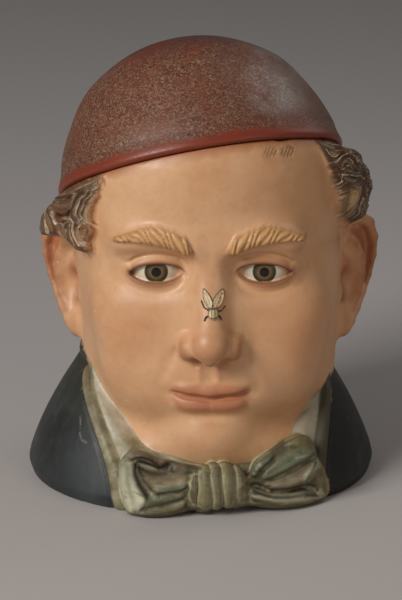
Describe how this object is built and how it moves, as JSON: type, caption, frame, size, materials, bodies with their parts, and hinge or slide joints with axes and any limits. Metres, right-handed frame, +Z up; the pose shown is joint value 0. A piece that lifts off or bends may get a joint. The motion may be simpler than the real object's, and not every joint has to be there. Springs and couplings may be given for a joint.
{
  "type": "figural tobacco jar",
  "caption": "Painted terracotta jar in the form of a man's head and shoulders with coat, wing collar and bow tie, hollow inside, closed by a lift-off lid shaped as a skullcap.",
  "frame": {"origin": "middle of the underside, on the surface that the jar stands on", "axes": "+Z up, -Y the way the face looks, +X to the right of a viewer who faces the front"},
  "size_m": [0.1226, 0.1174, 0.1527],
  "materials": {
    "painted_bust": "cold-painted terracotta, satin, worn",
    "painted_cap": "cold-painted terracotta, dusty matt, scuffed"
  },
  "bodies": {
    "root": {"jar_body": "painted_bust", "cap_lid": "painted_cap"}
  },
  "joints": []
}
